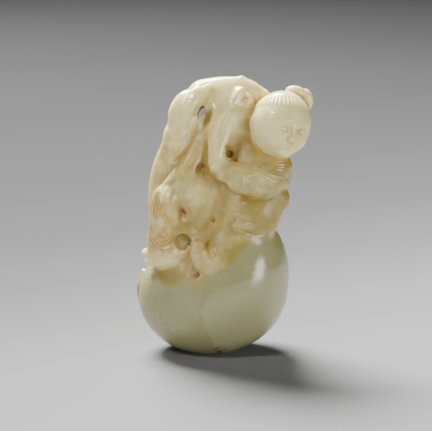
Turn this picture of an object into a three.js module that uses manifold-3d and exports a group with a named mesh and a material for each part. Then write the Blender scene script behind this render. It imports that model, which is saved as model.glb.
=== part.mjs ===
// A small carved jade: a child leans over a double gourd under the leaves of its vine.
// One solid, in millimetres, +Z up, standing on a flat cut under the gourd.
// The carving was laid out from the front, seen from VIEW_TILT above level, so most places
// are given as they are seen: across, up, and depth (away from the viewer).
import * as THREE from "three";
import { mergeVertices } from "three/addons/utils/BufferGeometryUtils.js";
import Module from "manifold-3d";

const VIEW_TILT = THREE.MathUtils.degToRad(12);
const CENTRE_X = -0.17;
const CENTRE_Y = 0.3;
const HOLE_END = 14;
const GROOVE_DEPTH = 0.16;
const PLEATS_FROM = -18;
const PLEATS_TO = -95;
const RING_FROM = -60;
const RING_TO = 240;
const OUTSIDE = 40;
const HEAD_PLACE = [11.0, 44.9, -4.2];
const HEAD_RADII = [5.9, 5.9, 6.5];
const HEAD_YAW = 24;
const HEAD_PITCH = 2;
const HEAD_ROLL = 12;
const HAIR_THICKNESS = 0.25;
const HAIR_HEIGHT = 3.1;
const HAIR_SLOPE = 25;
const HAIR_BOX = 16;
const FRONT = [0, -1, 0];

const wasm = await Module();
wasm.setup();

const seen = (across, up, depth) => [
  across,
  depth,
  (up - Math.sin(VIEW_TILT) * depth) / Math.cos(VIEW_TILT),
];

// Turns a closed three.js geometry into a solid that can be joined and cut.
function solid(geometry) {
  const bare = new THREE.BufferGeometry();
  bare.setAttribute("position", geometry.getAttribute("position"));
  bare.setIndex(geometry.getIndex());
  const merged = mergeVertices(bare, 1e-5);
  const mesh = new wasm.Mesh({
    numProp: 3,
    vertProperties: new Float32Array(merged.getAttribute("position").array),
    triVerts: new Uint32Array(merged.getIndex().array),
  });
  return new wasm.Manifold(mesh);
}

// An ellipsoid with its poles upright, then turned about X, Y and Z.
function blob(centre, radii, turns = [0, 0, 0], segments = 18) {
  const sphere = new THREE.SphereGeometry(1, segments, Math.round(segments * 0.55));
  const angles = turns.map(THREE.MathUtils.degToRad);
  sphere.rotateX(Math.PI / 2);
  sphere.scale(...radii);
  sphere.applyMatrix4(new THREE.Matrix4().makeRotationFromEuler(new THREE.Euler(...angles)));
  sphere.translate(...centre);
  return solid(sphere);
}

const smoothCurve = (points) =>
  new THREE.CatmullRomCurve3(points.map((p) => new THREE.Vector3(...p)), false, "catmullrom", 0.5);

// A rounded strip that follows its rows. Each row is a centre, the half width and the half
// thickness; faces are the outward directions in which the strip is thin.
function limb(rows, faces = [FRONT], sides = 8, perSpan = 2, capSteps = 2) {
  const centre = smoothCurve(rows.map((row) => row[0]));
  const sizes = smoothCurve(rows.map(([, width, thickness = width]) => [width, thickness, 0]));
  const face = smoothCurve(faces.length > 1 ? faces : [faces[0], faces[0]]);
  const steps = (rows.length - 1) * perSpan;
  const capsule = new THREE.CapsuleGeometry(1, steps, capSteps, sides, steps);
  const place = capsule.getAttribute("position");
  for (let i = 0; i < place.count; i += 1) {
    const along = THREE.MathUtils.clamp(place.getY(i) / steps + 0.5, 0, 1);
    const beyond = place.getY(i) - (along - 0.5) * steps;
    const tangent = centre.getTangent(along);
    const thin = face.getPoint(along);
    thin.addScaledVector(tangent, -thin.dot(tangent)).normalize();
    const wide = new THREE.Vector3().crossVectors(thin, tangent);
    const size = sizes.getPoint(along);
    const point = centre.getPoint(along);
    point.addScaledVector(wide, place.getX(i) * size.x);
    point.addScaledVector(thin, -place.getZ(i) * size.y);
    point.addScaledVector(tangent, beyond * size.x);
    place.setXYZ(i, point.x, point.y, point.z);
  }
  return solid(capsule);
}

// A round hole drilled along the line of sight, ending at the given depth.
function drill([across, up], radius, end) {
  return limb([[seen(across, up, -HOLE_END), radius], [seen(across, up, end - radius), radius]]);
}

function gourd() {
  const lowerBulb = blob([-3.2, 0.3, 11.2], [14.15, 11.47, 12.05], [0, 0, 0], 26);
  const lowerRight = blob([3.9, 0.3, 15.8], [9.15, 10.45, 12.65], [0, 0, 0], 20);
  const upperBulb = blob(seen(-4.5, 29.0, -1.5), [5.4, 6.0, 6.3], [0, 12, 0], 16);
  return [lowerBulb, lowerRight, upperBulb];
}

// The stone that stands behind the relief, from the gourd up to the canopy.
function core() {
  return limb([
    [[-3.8, 0.6, 24], 9.6, 7.0],
    [[-4.4, 0.6, 31], 9.2, 6.6],
    [[-4.2, 0.6, 38], 8.8, 6.2],
    [[-2.8, 0.6, 45], 7.8, 5.6],
  ], [FRONT], 10);
}

// The leaves over the top.
function canopy() {
  const dome = blob([-0.6, 0.2, 47.7], [8.3, 6.3, 6.4], [0, 6, 0], 16);
  const ridge = limb([
    [seen(-4.0, 50.9, 0), 3.2, 2.8],
    [seen(0.0, 51.4, 0), 3.3, 2.7],
    [seen(3.6, 51.2, 0), 3.3, 2.7],
    [seen(6.7, 49.9, 0), 2.8, 2.5],
  ], [FRONT], 10);
  const nub = blob(seen(3.3, 53.8, 0.2), [0.9, 1.1, 0.9], [0, 0, 0], 8);
  const crease = limb([
    [seen(-5.6, 51.9, -2.6), 0.6],
    [seen(-4.4, 51.7, -3.4), 0.65],
    [seen(-3.0, 52.4, -3.2), 0.55],
  ], [FRONT], 6);
  return [dome, ridge, nub, crease];
}

// The near leaf rolls down the left side in two lobes with a thick inner rim.
function nearLip() {
  const lowerLobe = limb([
    [seen(-6.8, 46.2, -4.0), 1.7, 1.5],
    [seen(-9.1, 43.6, -4.2), 2.6, 2.2],
    [seen(-9.8, 41.0, -3.9), 2.4, 2.1],
    [seen(-10.2, 38.8, -3.3), 1.3, 1.2],
  ], [[-0.35, -1, 0.1]]);
  const upperLobe = limb([
    [seen(-4.9, 51.0, -3.2), 1.5],
    [seen(-7.2, 49.3, -4.4), 2.4, 2.3],
    [seen(-8.6, 47.2, -4.8), 2.4, 2.3],
    [seen(-9.2, 45.3, -4.6), 2.0, 1.8],
  ], [[-0.35, -1, 0.15]], 10);
  const rim = limb([
    [seen(-5.5, 50.9, -5.2), 0.9],
    [seen(-6.5, 49.2, -6.1), 1.0],
    [seen(-7.4, 47.2, -6.5), 1.0],
    [seen(-8.1, 45.3, -6.1), 0.9],
  ], [FRONT], 6);
  return [lowerLobe, upperLobe, rim];
}

// The vine stem with its curled leaf, the second leaf and the tips at the lower left.
function vine() {
  const secondLeaf = limb([
    [seen(-11.2, 41.0, -1.2), 1.4, 1.3],
    [seen(-12.0, 37.3, -1.6), 2.2, 1.7],
    [seen(-12.7, 33.3, -2.0), 2.5, 1.8],
    [seen(-13.0, 29.7, -2.4), 2.4, 1.7],
  ], [[-0.7, -1, 0]], 9);
  const stem = limb([
    [seen(-4.2, 44.0, -3.6), 1.5, 1.2],
    [seen(-5.2, 40.0, -4.4), 1.9, 1.4],
    [seen(-7.7, 35.4, -5.2), 2.5, 1.8],
    [seen(-11.5, 30.2, -5.2), 2.7, 1.9],
  ], [FRONT, [-0.1, -1, 0], [-0.3, -1, 0]]);
  const curledLeaf = limb([
    [seen(-11.7, 30.4, -5.0), 2.5, 1.9],
    [seen(-12.1, 26.7, -5.2), 2.6, 2.0],
    [seen(-12.7, 23.1, -5.0), 2.8, 2.0],
    [seen(-12.8, 20.7, -4.8), 2.7, 1.8],
  ], [[-0.45, -1, 0]]);
  const leafRidge = limb([
    [seen(-12.4, 31.6, -6.1), 0.9],
    [seen(-10.9, 30.2, -6.5), 1.1, 0.9],
    [seen(-10.3, 27.2, -6.6), 1.1, 0.7],
    [seen(-10.7, 24.4, -6.4), 0.9, 0.6],
  ], [[-0.2, -1, 0]], 6);
  const besideUpperBulb = blob(seen(-8.5, 31.5, -4.1), [3.1, 2.5, 3.4], [0, 0, 0], 8);
  const belowUpperBulb = blob(seen(-8.3, 23.4, -4.8), [3.5, 3.1, 3.5], [0, 0, 0], 10);
  return [secondLeaf, stem, curledLeaf, leafRidge, besideUpperBulb, belowUpperBulb, ...leafTips()];
}

// Two tips that reach out to the left, and a thin leaf flat on the gourd's side.
function leafTips() {
  const upperTip = limb([
    [seen(-9.5, 20.2, -6.4), 2.4, 1.6],
    [seen(-12.7, 19.5, -5.2), 1.8, 1.2],
    [seen(-15.7, 19.7, -2.2), 1.0, 0.9],
  ], [[0, -0.3, 1]]);
  const lowerTip = limb([
    [seen(-10.2, 18.5, -7.0), 1.4, 1.1],
    [seen(-12.7, 17.9, -6.0), 1.2, 0.9],
    [seen(-15.3, 17.9, -3.4), 0.8],
  ], [[0, -0.3, 1]]);
  const sideLeaf = limb([
    [[-16.6, 1.6, 15.6], 0.9, 0.4],
    [[-17.3, 0.8, 13.2], 1.4, 0.5],
    [[-17.2, 0.6, 10.8], 0.9, 0.4],
  ], [[-1, -0.1, 0.2], [-1, -0.1, 0]], 6);
  return [upperTip, lowerTip, sideLeaf];
}

// The child's trunk with its shoulder, the chest beside the raised arm, and the hip.
function trunk() {
  const torso = limb([
    [[10.0, -0.2, 41.5], 2.6, 3.0],
    [[9.4, -0.4, 38.5], 3.8, 4.8],
    [[8.2, -0.2, 35.0], 4.8, 6.0],
    [[6.8, -0.3, 30.5], 5.0, 6.4],
    [[5.0, -0.2, 27.0], 5.2, 6.8],
  ], [FRONT], 12);
  const chest = limb([
    [seen(3.8, 48.0, -1.0), 2.4, 2.2],
    [seen(4.2, 43.5, -1.3), 3.2, 2.3],
    [seen(4.6, 39.6, -2.4), 3.6, 2.5],
    [seen(5.4, 36.5, -3.8), 3.8, 2.6],
  ]);
  const shoulder = blob(seen(9.2, 37.0, -3.3), [4.3, 3.3, 3.0], [0, 4, 0], 12);
  const waist = limb([
    [seen(1.6, 33.0, -4.4), 2.4, 2.0],
    [seen(1.3, 29.5, -4.8), 2.7, 2.1],
    [seen(0.7, 26.4, -5.1), 2.7, 1.9],
  ], [FRONT], 6);
  const hip = blob(seen(5.9, 27.6, -4.1), [5.3, 3.7, 4.8], [0, 0, 0], 12);
  const aboveHip = blob(seen(8.1, 30.4, -3.3), [4.9, 3.3, 3.5], [0, 0, 0], 10);
  const fold = blob(seen(3.9, 25.3, -7.0), [2.7, 1.2, 1.6], [-9, -8, 23], 8);
  return [torso, chest, shoulder, waist, hip, aboveHip, fold];
}

// The near leg with its shoe, the shin and foot beside it, and the far leg behind.
function legs() {
  const upAndOut = [[0, -1, 0.3]];
  const nearLeg = limb([
    [seen(5.6, 25.9, -4.2), 4.3, 2.6],
    [seen(2.6, 23.4, -5.6), 3.8, 2.2],
    [seen(0.4, 21.0, -6.8), 3.1, 1.9],
    [seen(-1.2, 18.4, -7.9), 2.6, 1.8],
  ], upAndOut, 10);
  const nearSole = blob(seen(-2.4, 17.9, -8.0), [2.9, 1.8, 3.1], [0, -10, 0], 10);
  const nearToe = blob(seen(-5.0, 19.0, -7.1), [2.0, 1.8, 3.6], [0, -14, 0], 10);
  const secondShin = limb([
    [seen(-7.7, 19.7, -6.0), 1.2, 1.0],
    [seen(-7.8, 17.7, -7.0), 1.2, 1.0],
    [seen(-7.5, 15.7, -7.8), 1.0, 0.9],
  ], upAndOut);
  const secondFoot = blob(seen(-10.2, 16.0, -7.0), [3.4, 1.0, 3.3], [-33, 0, -30], 12);
  const farLeg = limb([
    [[6.0, 3.0, 27.0], 3.8, 4.0],
    [[7.2, 5.8, 22.6], 3.2],
    [[6.6, 8.0, 18.4], 2.6, 2.2],
    [[4.6, 9.6, 16.0], 1.9, 1.6],
  ], [FRONT], 6);
  return [nearLeg, nearSole, nearToe, secondShin, secondFoot, farLeg];
}

// The raised forearm and hand, the wide sleeve of the near arm, and the far arm behind.
function arms() {
  const forearm = limb([
    [seen(2.9, 51.0, -2.7), 1.4, 1.2],
    [seen(2.0, 49.4, -3.4), 1.7, 1.2],
    [seen(0.1, 45.8, -4.9), 2.1, 1.2],
    [seen(-1.1, 42.4, -5.9), 2.1, 1.2],
    [seen(-1.5, 39.6, -6.5), 1.7, 1.4],
    [seen(-1.5, 37.2, -6.7), 1.8],
  ], [[-0.15, -1, 0]]);
  const hand = blob(seen(4.1, 49.6, -3.2), [1.6, 1.1, 1.5], [0, 30, 0], 10);
  const sleeve = limb([
    [seen(-1.2, 36.8, -6.8), 2.0],
    [seen(1.6, 34.9, -7.1), 2.8, 2.0],
    [seen(5.0, 33.7, -6.8), 2.8, 2.0],
    [seen(8.8, 33.2, -5.3), 2.1, 1.7],
    [seen(11.4, 33.4, -3.2), 1.3, 1.2],
  ], [[0.1, -1, 0.2]], 10);
  const farArm = limb([
    [[10.2, 1.2, 38.4], 2.6],
    [[10.8, 4.6, 34.2], 2.6, 2.3],
    [[8.0, 6.7, 34.8], 2.2, 1.8],
    [[5.4, 7.6, 37.0], 1.5, 1.3],
  ], [FRONT], 6);
  return [forearm, hand, sleeve, farArm];
}

// The plain leaf that hangs down the back.
function backLeaf() {
  const outward = [[0, 0.6, 1], [0, 0.9, 0.5], [0, 1, 0.2], [0, 1, 0], [0, 1, 0.1], [0, 1, 0.2]];
  return limb([
    [[0.6, 3.6, 51.6], 3.6, 2.0],
    [[-1.2, 5.6, 48.5], 5.6, 1.6],
    [[-3.2, 6.9, 42.5], 6.8, 1.5],
    [[-4.4, 7.2, 35.0], 6.2, 1.5],
    [[-4.6, 7.5, 28.0], 4.2, 1.4],
    [[-4.0, 8.2, 22.0], 1.4, 1.0],
  ], outward, 10);
}

// The hair is a slightly larger shell, kept only above and behind a sloping plane.
function hair() {
  const shell = blob([0, 0, 0], HEAD_RADII.map((radius) => radius + HAIR_THICKNESS), [0, 0, 0], 18);
  const above = new THREE.BoxGeometry(HAIR_BOX, HAIR_BOX, HAIR_BOX);
  above.translate(0, 0, HAIR_HEIGHT + HAIR_BOX / 2);
  above.rotateX(THREE.MathUtils.degToRad(-HAIR_SLOPE));
  return shell.intersect(solid(above));
}

// The face is modelled upright and facing -Y about the head's centre: nose, mouth, chin,
// and on both sides the cheek and the ear.
function face() {
  const nose = limb([
    [[0, -5.5, 0.8], 0.35],
    [[0, -5.9, -0.4], 0.5],
    [[0, -6.0, -1.2], 0.75, 0.6],
  ], [FRONT], 6, 1);
  const mouth = blob([0, -5.2, -2.8], [1.1, 0.6, 0.55], [0, 0, 0], 8);
  const chin = blob([0, -4.1, -4.5], [1.4, 1.1, 1.0], [0, 0, 0], 8);
  const sides = [-1, 1].flatMap((side) => [
    blob([side * 2.1, -4.2, -2.0], [1.6, 1.2, 1.6], [0, 0, 0], 8),
    blob([side * 5.7, 0.4, -0.4], [0.6, 1.1, 1.7], [0, 0, 0], 8),
  ]);
  return [nose, mouth, chin, ...sides];
}

function head() {
  const skull = blob([0, 0, 0], HEAD_RADII, [0, 0, 0], 18);
  const turn = new THREE.Matrix4().makeRotationY(THREE.MathUtils.degToRad(HEAD_ROLL));
  turn.multiply(new THREE.Matrix4().makeRotationZ(THREE.MathUtils.degToRad(HEAD_YAW)));
  turn.multiply(new THREE.Matrix4().makeRotationX(THREE.MathUtils.degToRad(HEAD_PITCH)));
  turn.setPosition(...seen(...HEAD_PLACE));
  return join([skull, hair(), ...face()]).transform(turn.toArray());
}

// The hair is tied in a knot of two lobes at the far top of the head.
function knot() {
  return [
    blob(seen(13.9, 51.4, -2.2), [2.0, 1.3, 1.2], [0, 10, 0], 12),
    blob(seen(16.1, 50.0, -1.6), [1.3, 1.3, 2.1], [0, -10, 0], 12),
  ];
}

const join = (forms) => forms.reduce((sum, form) => sum.add(form));

function toGeometry(manifold) {
  const { vertProperties, triVerts, numProp } = manifold.getMesh();
  const geometry = new THREE.BufferGeometry();
  if (numProp !== 3) throw new Error("positions only");
  geometry.setAttribute("position", new THREE.BufferAttribute(vertProperties, 3));
  geometry.setIndex(new THREE.BufferAttribute(triVerts, 1));
  return geometry;
}

// Grooves follow the surface: each point of a line is found with a ray onto the carving.
function grooves(stone, lines, origin, direction) {
  const surface = new THREE.Mesh(toGeometry(stone));
  const way = new THREE.Vector3(...direction).normalize();
  const ray = new THREE.Raycaster();
  return lines.map(({ line, radius }) => {
    const rows = line.map((point) => {
      ray.set(new THREE.Vector3(...origin(point)), way);
      const [hit] = ray.intersectObject(surface);
      const place = hit.point.addScaledVector(way, GROOVE_DEPTH - radius);
      return [place.toArray(), radius];
    });
    return limb(rows, [direction.map((value) => -value)], 4, 1, 1);
  });
}

// Lines on the side with the face, as (across, up).
const FRONT_LINES = [
  ...sleevePleats([4.4, 36.8], [7.6, 5.2], 4).map((line) => ({ line, radius: 0.32 })),
  { line: [[1.1, 37.6], [3.6, 36.8], [6.3, 35.8]], radius: 0.3 },
  { line: [[1.6, 48.9], [0.3, 46.6], [-0.9, 44.4], [-1.9, 40.9]], radius: 0.3 },
  { line: [[-3.7, 21.9], [-3.3, 20.2], [-2.6, 18.4]], radius: 0.34 },
  { line: ring([-12.0, 26.1], [0.8, 2.6], 6), radius: 0.28 },
  { line: [[-13.6, 21.9], [-12.4, 20.9], [-11.0, 21.9]], radius: 0.3 },
];

// Lines on the far side, as (x, z): the midrib and two veins of the leaf.
const BACK_LINES = [
  { line: [[-1.0, 50.0], [-3.2, 42.0], [-4.4, 33.0], [-4.2, 24.0]], radius: 0.4 },
  { line: [[-2.6, 44.0], [0.4, 41.0], [2.0, 37.0]], radius: 0.32 },
  { line: [[-3.2, 42.0], [-6.0, 40.0], [-8.4, 36.5]], radius: 0.32 },
];

// Pleats that spread from the crook of the elbow to an elliptical hem.
function sleevePleats([across, up], [wide, high], count) {
  return Array.from({ length: count }, (_, i) => {
    const angle = THREE.MathUtils.degToRad(THREE.MathUtils.lerp(PLEATS_FROM, PLEATS_TO, i / (count - 1)));
    const reach = 1 / Math.hypot(Math.cos(angle) / wide, Math.sin(angle) / high);
    const at = (part) => [across + Math.cos(angle) * reach * part, up + Math.sin(angle) * reach * part];
    return [at(0.34), at(0.66), at(0.98)];
  });
}

// A long open ring.
function ring([across, up], [wide, high], count) {
  return Array.from({ length: count }, (_, i) => {
    const angle = THREE.MathUtils.degToRad(THREE.MathUtils.lerp(RING_FROM, RING_TO, i / (count - 1)));
    return [across + wide * Math.cos(angle), up + high * Math.sin(angle)];
  });
}

// The deep places beside the lip of the leaf and the raised arm, and between bulb and waist.
function hollows() {
  const valley = limb([
    [seen(-2.2, 49.3, -7.4), 1.0, 2.5],
    [seen(-3.3, 47.0, -8.0), 1.7, 3.5],
    [seen(-4.4, 43.6, -8.2), 1.5, 3.2],
    [seen(-5.3, 40.8, -8.2), 1.2, 2.7],
    [seen(-6.4, 38.4, -8.0), 0.8, 1.9],
  ]);
  const besideLeaf = limb([
    [seen(-5.8, 42.0, -8.0), 0.4, 2.4],
    [seen(-7.2, 39.6, -7.8), 0.5, 2.0],
    [seen(-9.0, 37.0, -7.4), 0.4, 1.5],
  ], [FRONT], 6);
  const besideWaist = limb([
    [seen(-0.4, 32.8, -8.0), 0.6, 1.4],
    [seen(-0.6, 29.8, -7.7), 0.9, 1.4],
    [seen(-1.4, 26.4, -7.9), 1.0, 1.4],
    [seen(-3.4, 23.6, -8.4), 0.6, 1.3],
  ], [FRONT], 6, 1);
  return [valley, besideLeaf, besideWaist];
}

// Three blind holes, and a thin one right through the canopy.
function holes() {
  return [
    drill([-4.2, 36.1], 1.3, -5.2),
    drill([-8.3, 21.9], 1.65, -6.3),
    drill([0.8, 39.6], 0.7, -3.6),
    drill([-4.5, 47.6], 0.7, HOLE_END),
  ];
}

function belowFoot() {
  const block = new THREE.BoxGeometry(OUTSIDE, OUTSIDE, OUTSIDE);
  block.translate(0, 0, -OUTSIDE / 2);
  return solid(block);
}

function carve() {
  const plants = [...gourd(), core(), ...canopy(), ...nearLip(), ...vine(), backLeaf()];
  const child = [...trunk(), ...legs(), ...arms(), head(), ...knot()];
  const blank = join([...plants, ...child]);
  const cuts = [...hollows(), ...holes(), belowFoot()];
  const stone = blank.subtract(join(cuts));
  const tilt = [0, Math.cos(VIEW_TILT), -Math.sin(VIEW_TILT)];
  const front = grooves(stone, FRONT_LINES, ([across, up]) => seen(across, up, -OUTSIDE), tilt);
  const back = grooves(stone, BACK_LINES, ([x, z]) => [x, OUTSIDE, z], FRONT);
  return stone.subtract(join([...front, ...back]));
}

const geometry = toGeometry(carve());
geometry.translate(-CENTRE_X, -CENTRE_Y, 0);
const jade = new THREE.MeshStandardMaterial({ color: 0xb3a97f, roughness: 0.25, metalness: 0 });
const figure = new THREE.Mesh(geometry, jade);
figure.name = "jade_carving";

const group = new THREE.Group();
group.add(figure);

export default group;
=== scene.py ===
"""A small carved jade: a child leans over a double gourd under the leaves of its vine.

The stone is one piece. It is described in millimetres as soft-joined forms in a distance field,
turned into a fine mesh, and then the carved lines are cut into the mesh.
Most places are given as they are seen from the front, from VIEW_TILT above level:
across, up, and depth (away from the viewer).
"""
import math

import bmesh
import bpy
import numpy as np
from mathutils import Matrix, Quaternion, Vector


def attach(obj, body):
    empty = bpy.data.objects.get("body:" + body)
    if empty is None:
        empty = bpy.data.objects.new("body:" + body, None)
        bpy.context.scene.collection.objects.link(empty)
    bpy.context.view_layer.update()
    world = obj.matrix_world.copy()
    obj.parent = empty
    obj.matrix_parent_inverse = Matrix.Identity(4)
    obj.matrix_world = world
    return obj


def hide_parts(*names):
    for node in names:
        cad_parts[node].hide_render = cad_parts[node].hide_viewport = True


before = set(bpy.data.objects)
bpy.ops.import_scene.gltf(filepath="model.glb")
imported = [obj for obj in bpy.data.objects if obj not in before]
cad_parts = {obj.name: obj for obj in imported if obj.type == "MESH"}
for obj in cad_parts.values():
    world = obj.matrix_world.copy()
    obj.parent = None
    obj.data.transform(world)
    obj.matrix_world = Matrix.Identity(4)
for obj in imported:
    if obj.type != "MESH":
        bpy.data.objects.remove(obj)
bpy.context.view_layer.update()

MM = 0.001
VIEW_TILT = math.radians(12)
CENTRE_X = -0.17
CENTRE_Y = 0.3
FRONT = (0, -1, 0)
SIGHT = np.array([0, math.cos(VIEW_TILT), -math.sin(VIEW_TILT)])

# The finest cell of the field, in millimetres, and the room that it fills.
CELL = 0.2
ROOM_LOW = (-19.6, -14.4, -1.4)
ROOM_HIGH = (19.4, 14.4, 58.4)
FAR = 4.0

# How far round a form its distances are worked out, when it is joined and when it is cut.
JOIN_REACH = 2
CUT_REACH = 1

# Rays start this far from the stone, and step a little less than the distance to it.
START = 40
RAY_STEPS = 160
RAY_CAUTION = 0.85

HEAD_PLACE = (11.0, 44.9, -4.2)
HEAD_RADII = (5.9, 5.9, 6.5)
HEAD_YAW = 24
HEAD_PITCH = 2
HEAD_ROLL = 12


def seen(across, up, depth):
    """A point given as it is seen from the front."""
    height = (up - math.sin(VIEW_TILT) * depth) / math.cos(VIEW_TILT)
    return [across, depth, height]


def bearing(degrees):
    """The cosine and sine of an angle."""
    return math.cos(math.radians(degrees)), math.sin(math.radians(degrees))


def rotation(axis, degrees):
    """The matrix of a turn about X, Y or Z."""
    c, s = bearing(degrees)
    i, j = [(1, 2), (2, 0), (0, 1)]["XYZ".index(axis)]
    matrix = np.eye(3)
    matrix[i, i] = matrix[j, j] = c
    matrix[j, i], matrix[i, j] = s, -s
    return matrix


HEAD_CENTRE = np.array(seen(*HEAD_PLACE))
HEAD_TURN = rotation("Y", HEAD_ROLL) @ rotation("Z", HEAD_YAW) @ rotation("X", HEAD_PITCH)


class Blob:
    """An ellipsoid, turned about X, Y and Z."""

    def __init__(self, centre, radii, turns=(0, 0, 0)):
        self.centre = np.array(centre, float)
        self.radii = np.array(radii, float)
        self.matrix = rotation("X", turns[0]) @ rotation("Y", turns[1]) @ rotation("Z", turns[2])

    def box(self):
        reach = np.sqrt(((self.matrix * self.radii) ** 2).sum(1))
        return self.centre - reach, self.centre + reach

    def distance(self, x, y, z):
        place = (x - self.centre[0], y - self.centre[1], z - self.centre[2])
        near = 0
        slope = 1e-9
        for i, radius in enumerate(self.radii):
            local = sum(place[k] * self.matrix[k, i] for k in range(3))
            near = near + (local / radius) ** 2
            slope = slope + (local / radius ** 2) ** 2
        near = np.sqrt(near)
        return near * (near - 1) / np.sqrt(slope)


def spline(points, steps):
    """A smooth curve through rows of any width, with a number of steps for each span."""
    p = np.asarray(points, float)
    if len(p) == 2:
        t = np.linspace(0, 1, steps + 1)[:, None]
        return p[0] * (1 - t) + p[1] * t
    p = np.vstack([2 * p[0] - p[1], p, 2 * p[-1] - p[-2]])
    t = np.linspace(0, 1, steps + 1)[:-1, None]
    spans = []
    for a, b, c, d in zip(p, p[1:], p[2:], p[3:]):
        bend = (2 * a - 5 * b + 4 * c - d) * t ** 2 + (3 * b - a - 3 * c + d) * t ** 3
        spans.append(b + 0.5 * ((c - a) * t + bend))
    spans.append(p[-2][None])
    return np.vstack(spans)


THINNEST = 0.05


class Limb:
    """A rounded strip along rows of x, y, z, half width and half thickness.

    faces are the outward directions in which the strip is thin.
    """

    def __init__(self, rows, faces=(FRONT,), steps=6):
        curve = spline(rows, steps)
        self.path = curve[:, :3]
        self.width, self.thickness = np.maximum(curve[:, 3:], THINNEST).T
        faces = np.asarray(faces, float)
        places = np.linspace(0, len(faces) - 1, len(curve))
        face = np.stack([np.interp(places, range(len(faces)), faces[:, i]) for i in range(3)], 1)
        way = np.gradient(self.path, axis=0)
        way /= np.linalg.norm(way, axis=1, keepdims=True)
        face -= way * (face * way).sum(1, keepdims=True)
        self.face = face / np.linalg.norm(face, axis=1, keepdims=True)

    def box(self):
        reach = np.maximum(self.width, self.thickness)[:, None]
        return (self.path - reach).min(0), (self.path + reach).max(0)

    def distance(self, x, y, z):
        x, y, z = np.broadcast_arrays(x, y, z)
        nearest = np.full(x.shape, 1e9, np.float32)
        along = np.zeros(x.shape, np.float32)
        for i, (a, b) in enumerate(zip(self.path, self.path[1:])):
            e = b - a
            t = ((x - a[0]) * e[0] + (y - a[1]) * e[1] + (z - a[2]) * e[2]) / (e @ e)
            t = np.clip(t, 0, 1)
            gap = (x - a[0] - t * e[0]) ** 2 + (y - a[1] - t * e[1]) ** 2
            gap += (z - a[2] - t * e[2]) ** 2
            closer = gap < nearest
            nearest = np.where(closer, gap, nearest)
            along = np.where(closer, i + t, along)

        def at(values):
            return np.interp(along.ravel(), range(len(values)), values).reshape(along.shape)

        out = 0
        for i, place in enumerate((x, y, z)):
            out = out + at(self.face[:, i]) * (place - at(self.path[:, i]))
        side = np.maximum(nearest - out ** 2, 0)
        width = at(self.width)
        thickness = at(self.thickness)
        near = np.sqrt(side / width ** 2 + (out / thickness) ** 2)
        slope = np.sqrt(side / width ** 4 + (out / thickness ** 2) ** 2) + 1e-9
        return near * (near - 1) / slope


def strip(rows, faces=(FRONT,)):
    """A limb along seen points, each with its half width and, where it differs, half thickness."""
    return Limb([seen(*row[:3]) + [row[3], row[-1]] for row in rows], faces)


class Field:
    """Distances to the stone's surface on a grid: negative inside."""

    def __init__(self, low, high, cell):
        self.cell = cell
        self.low = np.array(low)
        self.axes = [np.arange(a, b + cell, cell, dtype=np.float32) for a, b in zip(low, high)]
        self.values = np.full([len(axis) for axis in self.axes], FAR, np.float32)
        self.tones = []
        self.polished = []

    def around(self, form, margin):
        """The part of the grid round a form, and the form's distances there."""
        low, high = form.box()
        part = []
        for axis, a, b in zip(self.axes, low, high):
            part.append(slice(*np.searchsorted(axis, [a - margin, b + margin])))
        x, y, z = np.ix_(*[axis[cut] for axis, cut in zip(self.axes, part)])
        return tuple(part), form.distance(x, y, z)

    def add(self, form, blend=0.0, tone=0.0):
        """Joins a form; its tone says how light its stone is, from 0 to 1."""
        part, new = self.around(form, JOIN_REACH + blend)
        self.values[part] = soft_min(self.values[part], new, blend)
        self.tones.append((form, tone))

    def cut(self, form, blend=0.0):
        """Takes a form away."""
        part, new = self.around(form, CUT_REACH + blend)
        self.values[part] = -soft_min(-self.values[part], new, blend)

    def sample(self, points):
        """The distance at any points, straight between the grid's values."""
        spot = (points - self.low) / self.cell
        spot = np.clip(spot, 0, np.array(self.values.shape) - 1.001)
        base = spot.astype(int)
        part = spot - base
        total = np.zeros(len(points))
        for corner in np.ndindex(2, 2, 2):
            weight = np.prod(np.where(corner, part, 1 - part), axis=1)
            total += weight * self.values[tuple((base + corner).T)]
        return total

    def normal(self, points):
        """The outward direction at any points."""
        step = self.cell * 0.75
        slope = np.zeros_like(points)
        for i in range(3):
            shift = np.zeros(3)
            shift[i] = step
            slope[:, i] = self.sample(points + shift) - self.sample(points - shift)
        return slope / np.maximum(np.linalg.norm(slope, axis=1, keepdims=True), 1e-6)

    def hit(self, starts, direction):
        """Where rays from the starts first meet the stone."""
        points = np.array(starts, float)
        direction = np.asarray(direction) / np.linalg.norm(direction)
        for _ in range(RAY_STEPS):
            gap = self.sample(points)
            points += direction * np.clip(gap, 0, 1)[:, None] * RAY_CAUTION
        return points


def soft_min(a, b, blend):
    """The smaller of two distances, with the corner between them filled by the blend."""
    if blend == 0:
        return np.minimum(a, b)
    near = np.maximum(blend - np.abs(a - b), 0) / blend
    return np.minimum(a, b) - near * near * blend * 0.25


# Low, polished swellings face up to the left, and rise this far from the surface.
FACET_TURN = rotation("X", -31) @ rotation("Z", -16)
FACET_RISE = 0.35
FACET_BLEND = 0.3


def facet(stone, across, up, radii, lean, tone=1.0):
    """A low, polished swelling whose top leans to the right by some degrees."""
    [place] = stone.hit([seen(across, up, -START)], SIGHT)
    form = Blob(place, radii)
    form.matrix = FACET_TURN @ rotation("Y", lean)
    form.centre += form.matrix @ [0, radii[1] - FACET_RISE, 0]
    stone.add(form, FACET_BLEND, tone)
    stone.polished.append(form)


GOURD_LEFT = ([-3.2, 0.3, 11.2], [14.1, 11.37, 12.0])
GOURD_RIGHT = ([3.9, 0.3, 15.8], [9.1, 10.4, 12.6])
GOURD_BLEND = 3.5


def gourd(stone):
    stone.add(Blob(*GOURD_LEFT))
    stone.add(Blob(*GOURD_RIGHT), GOURD_BLEND)


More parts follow.
